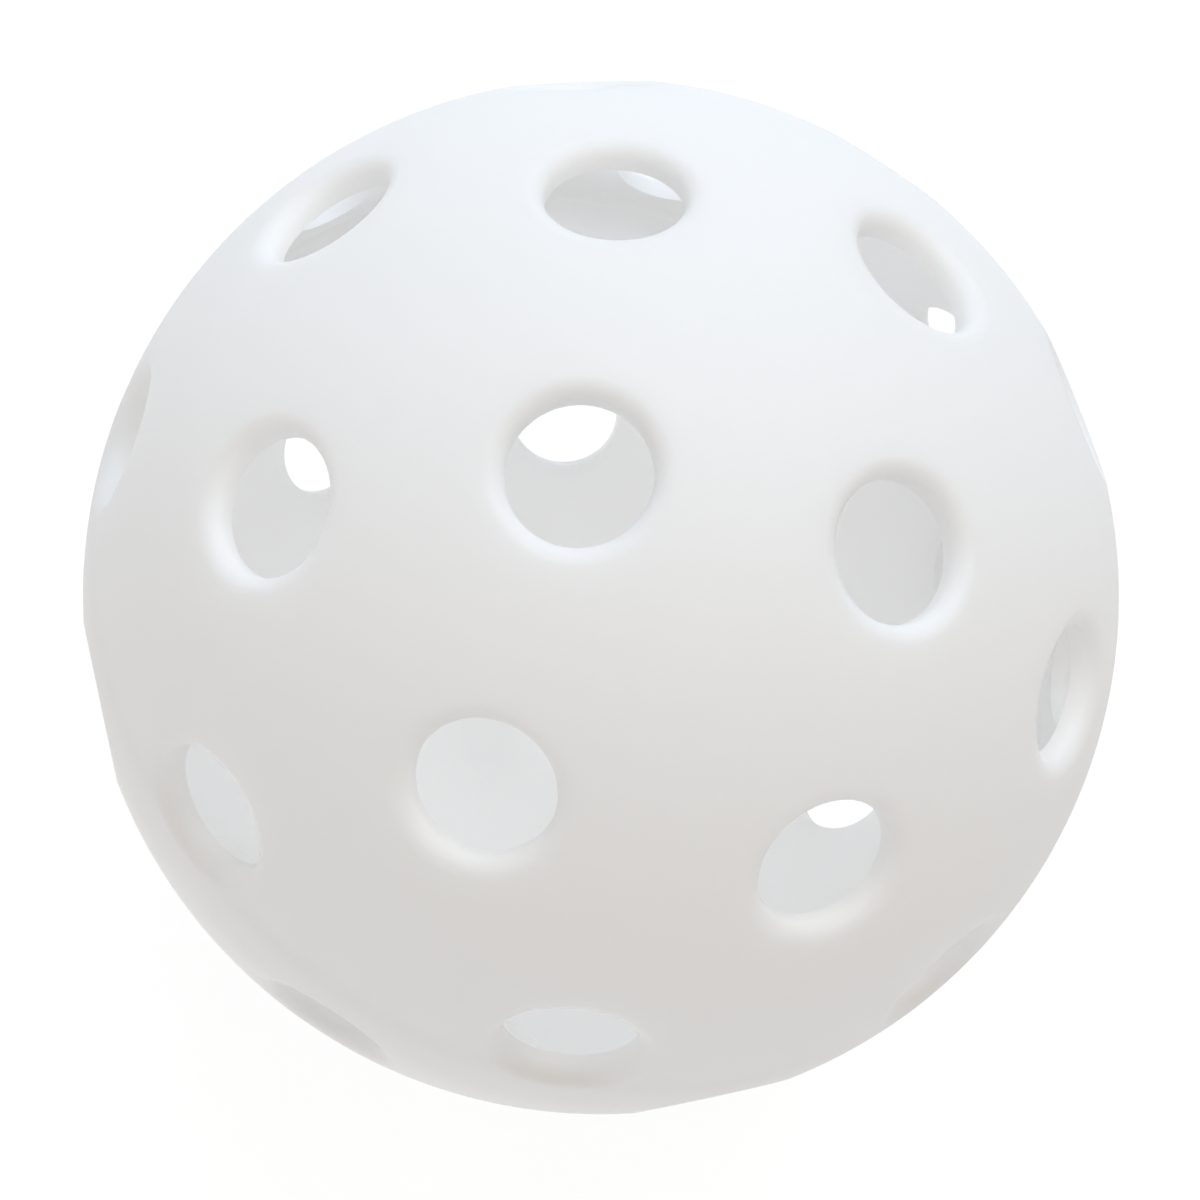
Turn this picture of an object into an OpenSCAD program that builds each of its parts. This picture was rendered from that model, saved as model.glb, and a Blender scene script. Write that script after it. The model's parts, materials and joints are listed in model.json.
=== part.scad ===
/* [Ball] */
// Outside diameter of the ball
ball_d = 74; // [72.9:0.1:75.4]
// Thickness of the moulded wall
wall = 2; // [1.7:0.1:2.4]
// Diameter of the gate flat outside each pole and of the ejector pin's flat inside it
gate_d = 2; // [1.5:0.1:3]

/* [Air holes] */
// Clear diameter of each air hole
hole_d = 8.9; // [8.4:0.1:9.4]
// Radius that rounds the outer mouth of each air hole
lip_r = 1.15; // [0.8:0.05:1.2]
// Angle of the faint edge where that round meets the outside of the ball
mouth_edge = 10; // [6:1:20]
// Holes in the small ring around the pole of each half
pole_ring_holes = 4; // [3:1:5]
// Holes in each of the two larger rings of a half
wide_ring_holes = 8; // [7:1:9]
// Angle from the pole to the ring around it
pole_ring_angle = 23.3; // [22.3:0.1:24.3]
// Angle from the pole to the middle ring
middle_ring_angle = 52.3; // [51.3:0.1:53.3]
// Angle from the pole to the ring beside the seam
seam_ring_angle = 79.5; // [78.5:0.1:79.5]

/* [Seam] */
// Thickness of the tongue under the rim of the upper half
tongue_w = 0.7; // [0.5:0.1:0.8]
// Height of the tongue
tongue_h = 0.8; // [0.6:0.1:1]
// Clearance between the tongue and its groove, on each side and below
tongue_gap = 0.05; // [0.03:0.01:0.1]
// Width of the weld bead on the inner wall
bead_w = 1.6; // [1.2:0.1:2]
// Height of the weld bead above the inner wall
bead_h = 0.4; // [0.3:0.05:0.6]

/* [Hidden] */
$fn = 96;
// Steps round the inner wall where the thin bead meets it
fine_fn = 720;

ball_r = ball_d / 2;
inner_r = ball_r - wall;
middle_r = ball_r - wall / 2;
gate_r = gate_d / 2;
hole_r = hole_d / 2;

// The lip is an arc that touches the bore at lip_z and meets the outside of the ball at its edge
lip_center_r = hole_r + lip_r;
lip_center_from_ball = sqrt(
    pow(ball_r, 2) + pow(lip_r, 2) - 2 * ball_r * lip_r * cos(mouth_edge)
);
lip_z = sqrt(pow(lip_center_from_ball, 2) - pow(lip_center_r, 2));

// A hole's tool starts inside the hollow and ends outside the ball
tool_start_z = inner_r / 2;
tool_over = 1.2;

// The middle ring sits between the holes of the seam ring, and the two halves are turned
// so that the seam rings interlock in the same way
half_pitch = 180 / wide_ring_holes;
// Each ring as angle from the pole, number of holes and turn of its first hole
rings = [
    [pole_ring_angle, pole_ring_holes, 180 / pole_ring_holes],
    [middle_ring_angle, wide_ring_holes, half_pitch],
    [seam_ring_angle, wide_ring_holes, 0]
];

// The bead's round back is an arc of this radius
bead_r = (pow(bead_w / 2, 2) + pow(bead_h, 2)) / (2 * bead_h);

// Bore with a rounded mouth, standing on the axis of the hole
module air_hole() {
    rotate_extrude()
        difference() {
            polygon([
                [0, tool_start_z],
                [hole_r, tool_start_z],
                [hole_r, lip_z],
                [lip_center_r, lip_z],
                [lip_center_r * tool_over, lip_z * tool_over],
                [0, lip_z * tool_over]
            ]);
            translate([lip_center_r, lip_z])
                circle(r = lip_r);
        }
}

// All the air holes of one half, with its pole at +Z
module air_holes() {
    for (ring = rings, i = [0 : ring[1] - 1])
        rotate([0, ring[0], ring[2] + i * 360 / ring[1]])
            air_hole();
}

// Quarter disc from the rim at z = 0 up to the small flat at the pole
module dome_section(r) {
    intersection() {
        circle(r = r);
        square([r, sqrt(pow(r, 2) - pow(gate_r, 2))]);
    }
}

// Quarter ring of wall between the outside and the hollow
module wall_section() {
    difference() {
        dome_section(ball_r);
        dome_section(inner_r);
    }
}

// Tongue that stands out of the rim, rooted as deep in the wall as it is high
module tongue_section() {
    translate([middle_r - tongue_w / 2, -tongue_h])
        square([tongue_w, 2 * tongue_h]);
}

// Groove that takes the tongue, open at the rim
module groove_section() {
    groove_w = tongue_w + 2 * tongue_gap;
    groove_h = tongue_h + tongue_gap;
    translate([middle_r - groove_w / 2, -groove_h])
        square([groove_w, 2 * groove_h]);
}

// One moulded half with its pole at +Z, from the section of its wall
module moulded_half() {
    difference() {
        rotate_extrude()
            children();
        air_holes();
    }
}

// Half with the tongue, above the seam
module upper_half_shell() {
    color("white")
        moulded_half() {
            wall_section();
            tongue_section();
        }
}

// Half with the groove, below the seam
module lower_half_shell() {
    color("white")
        rotate([180, 0, half_pitch])
            moulded_half()
                difference() {
                    wall_section();
                    groove_section();
                }
}

// Ring of plastic that was squeezed inwards where the halves are fused
module weld_bead() {
    color("whitesmoke")
        rotate_extrude()
            intersection() {
                circle(r = inner_r, $fn = fine_fn);
                translate([inner_r - bead_h + bead_r, 0])
                    circle(r = bead_r);
            }
}

upper_half_shell();
lower_half_shell();
weld_bead();
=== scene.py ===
"""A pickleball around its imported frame: two moulded half shells, the weld bead inside, a plain stage."""

import json
import math

import bpy
from bpy.props import FloatProperty, FloatVectorProperty, IntProperty, PointerProperty
from mathutils import Matrix, Vector
from mathutils.geometry import delaunay_2d_cdt


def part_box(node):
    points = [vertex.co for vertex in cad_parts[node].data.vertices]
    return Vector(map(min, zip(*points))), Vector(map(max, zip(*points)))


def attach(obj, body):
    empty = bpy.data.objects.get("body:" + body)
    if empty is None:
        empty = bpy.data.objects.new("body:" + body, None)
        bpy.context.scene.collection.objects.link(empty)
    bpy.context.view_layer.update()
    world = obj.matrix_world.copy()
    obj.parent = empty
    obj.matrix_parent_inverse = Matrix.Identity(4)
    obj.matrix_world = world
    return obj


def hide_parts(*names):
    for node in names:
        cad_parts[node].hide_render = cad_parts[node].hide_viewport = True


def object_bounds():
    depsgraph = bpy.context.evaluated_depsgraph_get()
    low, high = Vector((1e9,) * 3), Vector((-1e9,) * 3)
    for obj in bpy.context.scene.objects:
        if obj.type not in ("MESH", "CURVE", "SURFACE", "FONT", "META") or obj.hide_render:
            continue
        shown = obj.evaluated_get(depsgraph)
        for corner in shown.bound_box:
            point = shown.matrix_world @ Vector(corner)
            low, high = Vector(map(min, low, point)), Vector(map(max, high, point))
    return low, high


bl_info = {
    "name": "Pickleball",
    "version": (1, 0, 0),
    "blender": (4, 5, 0),
    "location": "View3D > Sidebar > Pickleball",
    "description": "Builds the moulded half shells, the weld bead and the stage of a pickleball",
    "category": "Object",
}

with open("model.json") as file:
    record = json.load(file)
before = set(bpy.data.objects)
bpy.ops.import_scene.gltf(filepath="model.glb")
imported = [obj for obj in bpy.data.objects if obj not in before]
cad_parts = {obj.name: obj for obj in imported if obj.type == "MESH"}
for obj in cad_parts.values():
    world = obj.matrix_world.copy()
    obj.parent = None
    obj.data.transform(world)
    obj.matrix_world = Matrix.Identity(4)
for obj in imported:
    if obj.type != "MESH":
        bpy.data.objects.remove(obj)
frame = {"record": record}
cad_low, cad_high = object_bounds()

MM = 0.001
UP = Vector((0, 0, 1))
BODY = "root"
# Side of the photograph in pixels and of the camera's film in millimetres
PHOTO_WIDTH = 1200
FILM_WIDTH = 36

# Sizes that the frame holds, where the ball is as wide as the widest side of its box
CORD_HOLE = next(m for m in frame["record"]["mounts"] if m["name"] == "upper_cord_hole")
BALL_RADIUS = max(*cad_high, *(-cad_low))
INNER_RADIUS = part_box("weld_bead")[1].x
BEAD_HALF_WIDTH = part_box("weld_bead")[1].z
HOLE_RADIUS = CORD_HOLE["dims"]["r_mm"] * MM
POLE_RING_ANGLE = math.acos(CORD_HOLE["axis"][2])
TONGUE_HEIGHT = -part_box("upper_half_shell")[0].z
GATE_RADIUS = math.sqrt(BALL_RADIUS**2 - cad_high.z**2)

# Share of their spacing that the points of the wall keep from its edges
EDGE_MARGIN = 0.6
# How the wall is divided into triangles: all of its disc, and points this close count as one
WHOLE_DISC = 0
SAME_POINT = 1e-9

# The long and the short wave that squeeze the weld bead: share, waves round the seam and start
BEAD_WAVES = ((0.3, 7, 0), (0.2, 17, 1))


def from_hex(code):
    """Linear colour of an sRGB hex value such as F4F4F2."""
    levels = [int(code[i:i + 2], 16) / 255 for i in (0, 2, 4)]
    return [v / 12.92 if v <= 0.04045 else ((v + 0.055) / 1.055) ** 2.4 for v in levels]


def length(name, description, metres):
    """A size or a distance."""
    return FloatProperty(name=name, description=description, default=metres, unit="LENGTH", precision=5)


def angle(name, description, degrees):
    """An angle, written in degrees."""
    turn = math.radians(degrees)
    return FloatProperty(name=name, description=description, default=turn, subtype="ANGLE")


def count(name, description, number):
    """A whole number of holes, points or bounces."""
    return IntProperty(name=name, description=description, default=number, min=1)


def share(name, description, part):
    """A share of the whole, from 0 to 1."""
    return FloatProperty(
        name=name, description=description, default=part, subtype="FACTOR", min=0, max=1
    )


def brightness(name, description, strength):
    """The strength of a glow, where 1 shows as white."""
    return FloatProperty(name=name, description=description, default=strength, min=0)


def power(name, description, watts):
    """The power of a softbox."""
    return FloatProperty(name=name, description=description, default=watts, unit="POWER")


def pixel(name, description, place):
    """A place in the photograph."""
    return FloatProperty(name=name, description=description, default=place, subtype="PIXEL")


def colour(name, description, code):
    """A colour, written as an sRGB hex value."""
    return FloatVectorProperty(
        name=name, description=description, default=from_hex(code), subtype="COLOR", min=0, max=1
    )


class BallSizes(bpy.types.PropertyGroup):
    """Sizes of the shells and of the weld bead, and how finely they are drawn."""

    ball_radius: length("Ball radius", "Radius of the outside", BALL_RADIUS)
    inner_radius: length("Inner radius", "Radius of the hollow", INNER_RADIUS)
    gate_radius: length("Gate radius", "Radius of the small flat at each pole", GATE_RADIUS)
    hole_radius: length("Hole radius", "Radius of the bore of each air hole", HOLE_RADIUS)
    lip_radius: length("Lip radius", "Radius that rounds the mouth of each air hole", 1.15 * MM)
    pole_ring_holes: count("Pole ring", "Holes around each pole", 4)
    wide_ring_holes: count("Wide rings", "Holes in each larger ring", 8)
    pole_ring_angle: angle("Pole ring angle", "From the pole", math.degrees(POLE_RING_ANGLE))
    middle_ring_angle: angle("Middle ring angle", "From the pole", 52.3)
    seam_ring_angle: angle("Seam ring angle", "From the pole", 79.5)
    tongue_width: length("Tongue width", "Thickness of the tongue at the seam", 0.7 * MM)
    tongue_height: length("Tongue height", "Height of the tongue", TONGUE_HEIGHT)
    tongue_gap: length("Tongue gap", "Clearance of the tongue in its groove", 0.05 * MM)
    bead_half_width: length("Bead half width", "Half the width of the weld bead", BEAD_HALF_WIDTH)
    bead_height: length("Bead height", "How far the weld bead stands off the wall", 0.4 * MM)
    bead_root: length("Bead root", "How deep the weld bead is rooted in the wall", 0.1 * MM)
    bead_waver: share("Bead waver", "How unevenly the bead is squeezed", 0.15)
    bead_steps: count("Bead steps", "Faces across the weld bead", 8)
    hole_steps: count("Hole steps", "Points round each hole", 60)
    lip_steps: count("Lip steps", "Faces across each rounded mouth", 9)
    rim_steps: count("Rim steps", "Points round the seam", 216)
    gate_steps: count("Gate steps", "Points round each gate flat", 24)
    grid: length("Grid", "Distance between the points of the wall", 1.4 * MM)


class PlasticLook(bpy.types.PropertyGroup):
    """Colours and finish of the moulded polyethylene."""

    light: colour("Light tone", "Plastic where the melt is thickest", "FDFDFD")
    dark: colour("Dark tone", "Plastic where the melt has flowed furthest", "FBFBFB")
    cloud: length("Cloud size", "Width of the soft clouds of tone in the melt", 9 * MM)
    roughness: share("Roughness", "Satin of the mould's face", 0.6)
    roughness_spread: share("Roughness spread", "How far the grain changes the satin", 0.06)
    fused_gloss: share("Fused gloss", "How much smoother the weld is than the mould's face", 0.1)
    ior: FloatProperty(name="IOR", description="Refractive index of polyethylene", default=1.51)
    gloss: share("Gloss", "Strength of the reflections on the satin face", 0.3)
    # A real spark grain is some hundredths of a millimetre wide, and is drawn coarser here to show
    grain: length("Grain size", "Width of the mould's spark grain", 0.5 * MM)
    grain_depth: length("Grain depth", "Depth of the mould's spark grain", 0.03 * MM)
    grain_strength: share("Grain strength", "How strongly the grain bends the light", 0.25)
    milk: share("Milk", "Share of the light that goes into the wall", 0.7)
    scatter: length("Scatter", "How far light travels in the wall", 7 * MM)
    scatter_reach: FloatVectorProperty(
        name="Scatter reach", description="Reach of red, green and blue light", default=(1, 1, 0.98)
    )
    weld_zone: length("Weld zone", "Height over the seam up to which the fused wall is opaque", 1 * MM)
    clear_zone: length("Clear zone", "Height over the seam from which the wall is milky", 4 * MM)


class StageSetup(bpy.types.PropertyGroup):
    """Camera, lights and floor."""

    view_azimuth: angle("View azimuth", "Camera's turn about the ball's axis", -23.78)
    view_elevation: angle("View elevation", "Camera's height over the seam", 59.63)
    view_roll: angle("View roll", "Camera's roll to the left", 34.11)
    view_distance: length("View distance", "From the centre of the ball", 177.6 * MM)
    lens: FloatProperty(name="Lens", description="Focal length", default=72.97, unit="CAMERA")
    ball_x: pixel("Ball across", "Ball's centre from the left of the photograph", 600.93)
    ball_y: pixel("Ball down", "Ball's centre from the top of the photograph", 596.23)
    nearest: length("Nearest", "Distance from which the camera sees things", 10 * MM)
    floor_size: length("Floor size", "Side of the square floor", 20)
    floor_tone: colour("Floor tone", "How much light the sheet throws back", "6E6E6E")
    floor_glow: brightness("Floor glow", "Light that the sheet gives off", 0.87)
    floor_roughness: share("Floor roughness", "Satin of the sheet", 0.6)
    softbox_size: length("Softbox size", "Side of each square softbox", 0.6)
    softbox_distance: length("Softbox distance", "From the centre of the ball", 0.7)
    key_toward: FloatVectorProperty(
        name="Key direction",
        description="Along the camera's right, up and back",
        default=(0.18, 0.9, 0.4),
        subtype="DIRECTION",
    )
    key_power: power("Key power", "Power of the key softbox", 2.45)
    key_tint: colour("Key tint", "Cool daylight", "C9E5FF")
    overhead_power: power("Overhead power", "Power of the overhead softbox", 2.4)
    overhead_tint: colour("Overhead tint", "Warm white", "FFFBF4")
    room: brightness("Room", "Light from the walls of the room", 0.3)
    room_tint: colour("Room tint", "Pale walls", "FFF5EC")
    bounces: count("Bounces", "Light's bounces inside the hollow white ball", 24)


class Surface:
    """Points, faces and corner normals of one piece."""

    def __init__(self):
        self.points = []
        self.faces = []
        self.normals = []

    def add_points(self, points):
        """Adds points and returns their numbers."""
        first = len(self.points)
        self.points.extend(points)
        return list(range(first, len(self.points)))

    def add_face(self, corners, normals):
        """Adds a face that turns its front the way its normals point."""
        a, b, c = (self.points[i] for i in corners[:3])
        if (b - a).cross(c - a).dot(sum(normals, Vector())) < 0:
            corners, normals = corners[::-1], normals[::-1]
        self.faces.append(corners)
        self.normals.extend(normals)

    def add_strip(self, ring, other, normals, other_normals):
        """Joins two rings of points by quads."""
        for i in range(len(ring)):
            j = (i + 1) % len(ring)
            self.add_face(
                [ring[i], ring[j], other[j], other[i]],
                [normals[i], normals[j], other_normals[j], other_normals[i]],
            )

    def make(self, name, place):
        """Makes the object, turned into its place."""
        mesh = bpy.data.meshes.new(name)
        mesh.from_pydata([place @ p for p in self.points], [], self.faces)
        mesh.shade_smooth()
        mesh.normals_split_custom_set([place @ n for n in self.normals])
        piece = bpy.data.objects.new(name, mesh)
        bpy.context.scene.collection.objects.link(piece)
        return piece


def directions(steps):
    """Unit vectors round +Z."""
    turns = [2 * math.pi * i / steps for i in range(steps)]
    return [Vector((math.cos(t), math.sin(t), 0)) for t in turns]


def hole_turns(sizes):
    """A turn from +Z to the axis of every air hole of a half whose pole is at +Z."""
    half_pitch = math.pi / sizes.wide_ring_holes
    rings = (
        (sizes.pole_ring_angle, sizes.pole_ring_holes, math.pi / sizes.pole_ring_holes),
        (sizes.middle_ring_angle, sizes.wide_ring_holes, half_pitch),
        (sizes.seam_ring_angle, sizes.wide_ring_holes, 0),
    )
    return [
        Matrix.Rotation(first + 2 * math.pi * i / holes, 3, "Z") @ Matrix.Rotation(lean, 3, "Y")
        for lean, holes, first in rings
        for i in range(holes)
    ]


def wall_points(radius, spacing, holes, hole_radius, gate_radius):
    """Evenly spread points of the dome that keep clear of its rim, its holes and its gate flat."""
    # On a grid of even triangles each point has this much of the dome to itself
    own_area = spacing**2 * math.sqrt(3) / 2
    total = round(2 * math.pi * radius**2 / own_area)
    golden_turn = math.pi * (3 - math.sqrt(5))
    margin = EDGE_MARGIN * spacing
    hole_angle = math.asin(hole_radius / radius) + margin / radius
    points = []
    for i in range(total):
        height = (i + 0.5) / total
        flat = math.sqrt(1 - height**2)
        way = Vector((flat * math.cos(i * golden_turn), flat * math.sin(i * golden_turn), height))
        off_edges = height * radius > margin and flat * radius > gate_radius + margin
        if off_edges and all(way.angle(hole) > hole_angle for hole in holes):
            points.append(way * radius)
    return points


def cover_dome(shell, radius, rim, mouths, gate, points, side):
    """Covers the outside (side 1) or the hollow (side -1) between the rim and the holes' rings."""
    rings = [rim, *mouths, gate]
    numbers = [i for ring in rings for i in ring] + shell.add_points(points)
    edges = []
    for ring in rings:
        first = len(edges)
        edges += [(first + i, first + (i + 1) % len(ring)) for i in range(len(ring))]
    # Seen from the opposite pole the dome is a disc, and each ring stays a circle
    disc = [shell.points[i].xy / (radius + shell.points[i].z) for i in numbers]
    _, _, triangles, sources, _, _ = delaunay_2d_cdt(disc, edges, [], WHOLE_DISC, SAME_POINT)
    mouth_of = {i: mouth for mouth, ring in enumerate(mouths) for i in ring}
    for triangle in triangles:
        corners = [numbers[sources[i][0]] for i in triangle]
        around = {mouth_of.get(i) for i in corners}
        if len(around) == 1 and None not in around:
            continue
        if all(i in gate for i in corners):
            normals = [UP * side] * 3
        else:
            normals = [shell.points[i].normalized() * side for i in corners]
        shell.add_face(corners, normals)


def air_hole(shell, sizes, turn):
    """Rounds one mouth and bores the wall. Returns the ring outside and the ring in the hollow."""
    lip = sizes.lip_radius
    lip_center_r = sizes.hole_radius + lip
    lip_center_z = math.sqrt((sizes.ball_radius - lip) ** 2 - lip_center_r**2)
    mouth_lean = math.asin(lip_center_r / (sizes.ball_radius - lip))
    bore_lean = -math.pi / 2
    inner_z = math.sqrt(sizes.inner_radius**2 - sizes.hole_radius**2)
    profile = []
    for i in range(sizes.lip_steps + 1):
        lean = mouth_lean + (bore_lean - mouth_lean) * i / sizes.lip_steps
        r = lip_center_r + lip * math.sin(lean)
        z = lip_center_z + lip * math.cos(lean)
        profile.append((r, z, math.sin(lean), math.cos(lean)))
    profile.append((sizes.hole_radius, inner_z, -1, 0))
    round_about = directions(sizes.hole_steps)
    rings, normals = [], []
    for r, z, normal_r, normal_z in profile:
        rings.append(shell.add_points([turn @ (way * r + UP * z) for way in round_about]))
        normals.append([turn @ (way * normal_r + UP * normal_z) for way in round_about])
    for i in range(len(rings) - 1):
        shell.add_strip(rings[i], rings[i + 1], normals[i], normals[i + 1])
    return rings[0], rings[-1]


def seam_rim(shell, sizes, width, step):
    """The rim at the seam, with a tongue (step below 0) or a groove (step above 0) in its middle."""
    middle = (sizes.ball_radius + sizes.inner_radius) / 2
    outer, inner = middle + width / 2, middle - width / 2
    corners = (
        (sizes.ball_radius, 0),
        (outer, 0),
        (outer, step),
        (inner, step),
        (inner, 0),
        (sizes.inner_radius, 0),
    )
    round_about = directions(sizes.rim_steps)
    rings = [shell.add_points([way * r + UP * z for way in round_about]) for r, z in corners]
    faces_out = math.copysign(1, -step)
    flat = [-UP] * sizes.rim_steps
    outer_side = [way * faces_out for way in round_about]
    inner_side = [-way for way in outer_side]
    for i, normals in enumerate((flat, outer_side, flat, inner_side, flat)):
        shell.add_strip(rings[i], rings[i + 1], normals, normals)
    return rings[0], rings[-1]


def gate_ring(shell, sizes, radius):
    """The edge of the small flat at the pole."""
    height = math.sqrt(radius**2 - sizes.gate_radius**2)
    ways = directions(sizes.gate_steps)
    return shell.add_points([way * sizes.gate_radius + UP * height for way in ways])


def half_shell(name, sizes, seam_width, seam_step, place):
    """One moulded half, made with its pole at +Z and then turned into its place."""
    shell = Surface()
    turns = hole_turns(sizes)
    holes = [turn @ UP for turn in turns]
    outer_rim, inner_rim = seam_rim(shell, sizes, seam_width, seam_step)
    rings = [air_hole(shell, sizes, turn) for turn in turns]
    for radius, rim, mouths, side in (
        (sizes.ball_radius, outer_rim, [ring[0] for ring in rings], 1),
        (sizes.inner_radius, inner_rim, [ring[1] for ring in rings], -1),
    ):
        mouth_radius = max(shell.points[i].cross(holes[0]).length for i in mouths[0])
        gate = gate_ring(shell, sizes, radius)
        points = wall_points(radius, sizes.grid, holes, mouth_radius, sizes.gate_radius)
        cover_dome(shell, radius, rim, mouths, gate, points, side)
    return shell.make(name, place)


def bead_swell(sizes, turn):
    """How full the bead is at a turn round the seam, where its waves squeeze it unevenly."""
    squeeze = sum(part * (1 + math.sin(waves * turn + start)) for part, waves, start in BEAD_WAVES)
    return 1 - sizes.bead_waver * squeeze


def weld_bead(name, sizes):
    """The bead of the weld: an uneven arc that stands off the inner wall and is rooted in it."""
    bead = Surface()
    sections = directions(sizes.rim_steps)
    swells = [bead_swell(sizes, 2 * math.pi * i / sizes.rim_steps) for i in range(sizes.rim_steps)]
    steepness = sizes.bead_height / sizes.bead_half_width
    rings, normals = [], []
    for k in range(sizes.bead_steps + 1):
        across = 2 * k / sizes.bead_steps - 1
        lean = across * math.pi / 2
        ring = []
        for way, swell in zip(sections, swells):
            rise = sizes.bead_height * swell * math.cos(lean)
            height = sizes.bead_half_width * swell * across
            ring.append(way * (sizes.inner_radius - rise) + UP * height)
        rings.append(bead.add_points(ring))
        slope = steepness * math.sin(lean)
        normals.append([(UP * slope - way).normalized() for way in sections])
    for k in range(sizes.bead_steps):
        bead.add_strip(rings[k], rings[k + 1], normals[k], normals[k + 1])
    root = bead.add_points([way * (sizes.inner_radius + sizes.bead_root) for way in sections])
    bead.add_strip(rings[-1], root, sections, sections)
    bead.add_strip(root, rings[0], sections, sections)
    return bead.make(name, Matrix.Identity(3))


def add_node(tree, kind, settings=None, **inputs):
    """Adds a node, sets its settings and its inputs, and links the inputs that are sockets."""
    node = tree.nodes.new(kind)
    for name, value in (settings or {}).items():
        setattr(node, name, value)
    for name, value in inputs.items():
        socket = node.inputs[name.replace("_", " ")]
        if isinstance(value, bpy.types.NodeSocket):
            tree.links.new(value, socket)
        else:
            socket.default_value = value
    return node


def new_material(name):
    """An empty node material and its tree and output."""
    material = bpy.data.materials.new(name)
    material.use_nodes = True
    tree = material.node_tree
    tree.nodes.clear()
    output = tree.nodes.new("ShaderNodeOutputMaterial")
    return material, tree, output


def milk_off_the_seam(tree, place, look):
    """Share of the light that goes into the wall: none where it is fused at the seam."""
    height = add_node(tree, "ShaderNodeSeparateXYZ", Vector=place).outputs["Z"]
    over_seam = add_node(tree, "ShaderNodeMath", {"operation": "ABSOLUTE"}, Value=height)
    milk = add_node(
        tree,
        "ShaderNodeMapRange",
        {"interpolation_type": "SMOOTHSTEP"},
        Value=over_seam.outputs["Value"],
        From_Min=look.weld_zone,
        From_Max=look.clear_zone,
        To_Max=look.milk,
    )
    return milk.outputs["Result"]


def polyethylene(look, name, roughness, milky):
    """Polyethylene from a spark-finished mould: a white satin face, and a milky wall off the weld."""
    material, tree, output = new_material(name)
    place = add_node(tree, "ShaderNodeTexCoord").outputs["Object"]
    clouds = add_node(tree, "ShaderNodeTexNoise", Vector=place, Scale=1 / look.cloud, Detail=3)
    tones = add_node(
        tree,
        "ShaderNodeMix",
        {"data_type": "RGBA"},
        Factor=clouds.outputs["Fac"],
        A=(*look.dark, 1),
        B=(*look.light, 1),
    )
    grain = add_node(tree, "ShaderNodeTexNoise", Vector=place, Scale=1 / look.grain, Detail=2)
    satin = add_node(
        tree,
        "ShaderNodeMapRange",
        Value=grain.outputs["Fac"],
        To_Min=roughness - look.roughness_spread,
        To_Max=roughness + look.roughness_spread,
    )
    bump = add_node(
        tree,
        "ShaderNodeBump",
        Height=grain.outputs["Fac"],
        Strength=look.grain_strength,
        Distance=look.grain_depth,
    )
    plastic = add_node(
        tree,
        "ShaderNodeBsdfPrincipled",
        Base_Color=tones.outputs["Result"],
        Roughness=satin.outputs["Result"],
        Normal=bump.outputs["Normal"],
        IOR=look.ior,
        Specular_IOR_Level=look.gloss,
        Subsurface_Weight=milk_off_the_seam(tree, place, look) if milky else 0,
        Subsurface_Radius=look.scatter_reach,
        Subsurface_Scale=look.scatter,
    )
    tree.links.new(plastic.outputs["BSDF"], output.inputs["Surface"])
    return material


def backlit_acrylic(stage):
    """Opal acrylic sheet lit from below: an even pale glow under a faint soft shadow."""
    material, tree, output = new_material("backlit_acrylic")
    sheet = add_node(
        tree,
        "ShaderNodeBsdfPrincipled",
        Base_Color=(*stage.floor_tone, 1),
        Roughness=stage.floor_roughness,
        Emission_Color=(1, 1, 1, 1),
        Emission_Strength=stage.floor_glow,
    )
    tree.links.new(sheet.outputs["BSDF"], output.inputs["Surface"])
    return material


def acrylic_floor(stage):
    """The square sheet that the ball stands on."""
    half = stage.floor_size / 2
    corners = [(x * half, y * half, cad_low.z) for x, y in ((-1, -1), (1, -1), (1, 1), (-1, 1))]
    mesh = bpy.data.meshes.new("floor")
    mesh.from_pydata(corners, [], [(0, 1, 2, 3)])
    mesh.materials.append(backlit_acrylic(stage))
    floor = bpy.data.objects.new("floor", mesh)
    bpy.context.scene.collection.objects.link(floor)
    return floor


def softbox(name, stage, toward, watts, tint):
    """A square softbox that faces the ball."""
    light = bpy.data.lights.new(name, "AREA")
    light.shape = "SQUARE"
    light.size = stage.softbox_size
    light.energy = watts
    light.color = tint
    lamp = bpy.data.objects.new(name, light)
    lamp.location = toward.normalized() * stage.softbox_distance
    lamp.rotation_euler = toward.to_track_quat("Z", "Y").to_euler()
    bpy.context.scene.collection.objects.link(lamp)


def pale_room(stage):
    """Even light from the walls of the room."""
    world = bpy.data.worlds.new("room")
    world.use_nodes = True
    walls = world.node_tree.nodes["Background"]
    walls.inputs["Color"].default_value = (*stage.room_tint, 1)
    walls.inputs["Strength"].default_value = stage.room
    return world


def view_turn(stage):
    """The camera's turn, which holds its right, up and backward directions."""
    back = Vector((
        math.cos(stage.view_elevation) * math.cos(stage.view_azimuth),
        math.cos(stage.view_elevation) * math.sin(stage.view_azimuth),
        math.sin(stage.view_elevation),
    ))
    level_right = UP.cross(back).normalized()
    right = Matrix.Rotation(stage.view_roll, 3, back) @ level_right
    return Matrix((right, back.cross(right), back)).transposed()


def photo_camera(stage, facing):
    """A camera that sees the ball as the photograph does."""
    camera = bpy.data.cameras.new("camera")
    camera.lens = stage.lens
    camera.sensor_width = FILM_WIDTH
    camera.shift_x = (PHOTO_WIDTH / 2 - stage.ball_x) / PHOTO_WIDTH
    camera.shift_y = (stage.ball_y - PHOTO_WIDTH / 2) / PHOTO_WIDTH
    camera.clip_start = stage.nearest
    viewer = bpy.data.objects.new("camera", camera)
    viewer.matrix_world = facing.to_4x4() @ Matrix.Translation(UP * stage.view_distance)
    bpy.context.scene.collection.objects.link(viewer)
    return viewer


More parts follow.
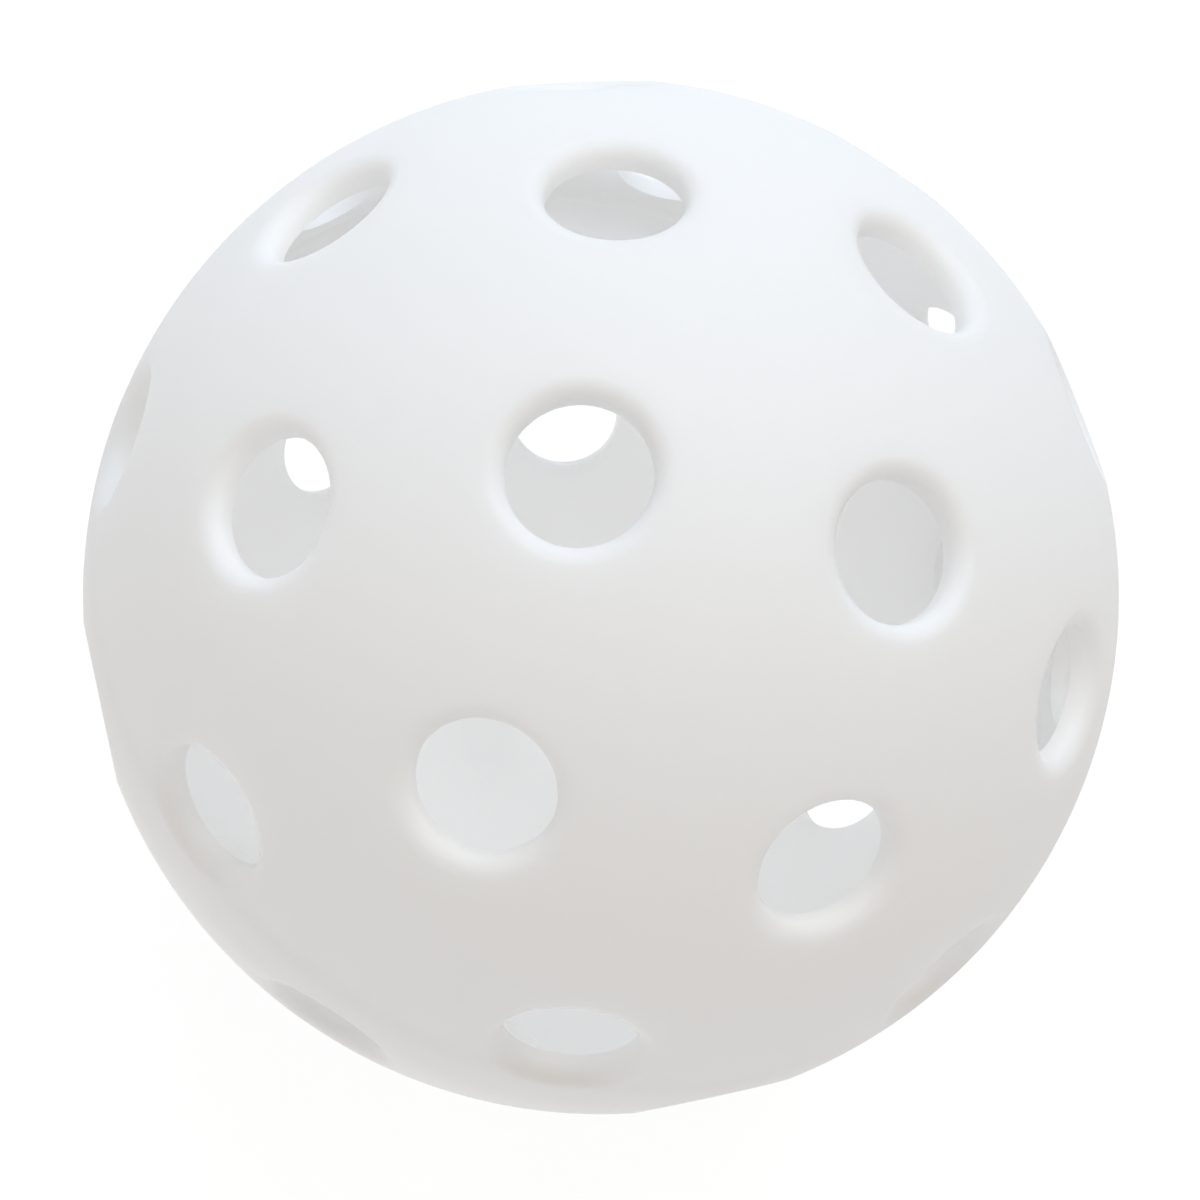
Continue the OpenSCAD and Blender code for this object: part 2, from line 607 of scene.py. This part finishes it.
class PICKLEBALL_OT_half_shells(bpy.types.Operator):
    """Build the half with the tongue and the half with the groove"""

    bl_idname = "pickleball.half_shells"
    bl_label = "Half shells"

    def execute(self, context):
        sizes = context.scene.pickleball_sizes
        look = context.scene.pickleball_look
        plastic = polyethylene(look, "moulded_polyethylene", look.roughness, milky=True)
        groove_width = sizes.tongue_width + 2 * sizes.tongue_gap
        groove_height = sizes.tongue_height + sizes.tongue_gap
        half_pitch = math.pi / sizes.wide_ring_holes
        turned_over = Matrix.Rotation(half_pitch, 3, "Z") @ Matrix.Rotation(math.pi, 3, "X")
        for node, width, step, place in (
            ("upper_half_shell", sizes.tongue_width, -sizes.tongue_height, Matrix.Identity(3)),
            ("lower_half_shell", groove_width, groove_height, turned_over),
        ):
            piece = half_shell(node + "_moulding", sizes, width, step, place)
            piece.data.materials.append(plastic)
            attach(piece, BODY)
            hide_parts(node)
        return {"FINISHED"}


class PICKLEBALL_OT_weld_bead(bpy.types.Operator):
    """Lay the uneven bead of fused plastic along the inside of the seam"""

    bl_idname = "pickleball.weld_bead"
    bl_label = "Weld bead"

    def execute(self, context):
        look = context.scene.pickleball_look
        fused_roughness = look.roughness - look.fused_gloss
        piece = weld_bead("weld_bead_flash", context.scene.pickleball_sizes)
        piece.data.materials.append(polyethylene(look, "fused_polyethylene", fused_roughness, milky=False))
        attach(piece, BODY)
        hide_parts("weld_bead")
        return {"FINISHED"}


class PICKLEBALL_OT_stage(bpy.types.Operator):
    """Set the pale floor, the soft lights and the camera"""

    bl_idname = "pickleball.stage"
    bl_label = "Stage"

    def execute(self, context):
        scene = context.scene
        stage = scene.pickleball_stage
        floor = acrylic_floor(stage)
        facing = view_turn(stage)
        softbox("key", stage, facing @ Vector(stage.key_toward), stage.key_power, stage.key_tint)
        softbox("overhead", stage, UP, stage.overhead_power, stage.overhead_tint)
        scene.world = pale_room(stage)
        scene.camera = photo_camera(stage, facing)
        scene.cycles.max_bounces = stage.bounces
        scene.cycles.diffuse_bounces = stage.bounces
        scene.view_settings.view_transform = "Standard"
        return {"FINISHED"}


class PICKLEBALL_PT_panel(bpy.types.Panel):
    """The pieces and their sizes in the sidebar"""

    bl_idname = "PICKLEBALL_PT_panel"
    bl_label = "Pickleball"
    bl_space_type = "VIEW_3D"
    bl_region_type = "UI"
    bl_category = "Pickleball"

    def draw(self, context):
        for operator in OPERATORS:
            self.layout.operator(operator.bl_idname)
        for group_name, group in GROUPS.items():
            column = self.layout.column(align=True)
            for name in group.__annotations__:
                column.prop(getattr(context.scene, group_name), name)


GROUPS = {
    "pickleball_sizes": BallSizes,
    "pickleball_look": PlasticLook,
    "pickleball_stage": StageSetup,
}
OPERATORS = (PICKLEBALL_OT_half_shells, PICKLEBALL_OT_weld_bead, PICKLEBALL_OT_stage)
CLASSES = (*GROUPS.values(), *OPERATORS, PICKLEBALL_PT_panel)


def register():
    """Registers the classes and gives the scene its groups of properties."""
    for cls in CLASSES:
        bpy.utils.register_class(cls)
    for name, group in GROUPS.items():
        setattr(bpy.types.Scene, name, PointerProperty(type=group))


def unregister():
    """Takes the groups of properties and the classes away again."""
    for name in GROUPS:
        delattr(bpy.types.Scene, name)
    for cls in reversed(CLASSES):
        bpy.utils.unregister_class(cls)


def main():
    """Builds the pieces and the stage."""
    register()
    bpy.ops.pickleball.half_shells()
    bpy.ops.pickleball.weld_bead()
    bpy.ops.pickleball.stage()


if __name__ == "__main__":
    main()
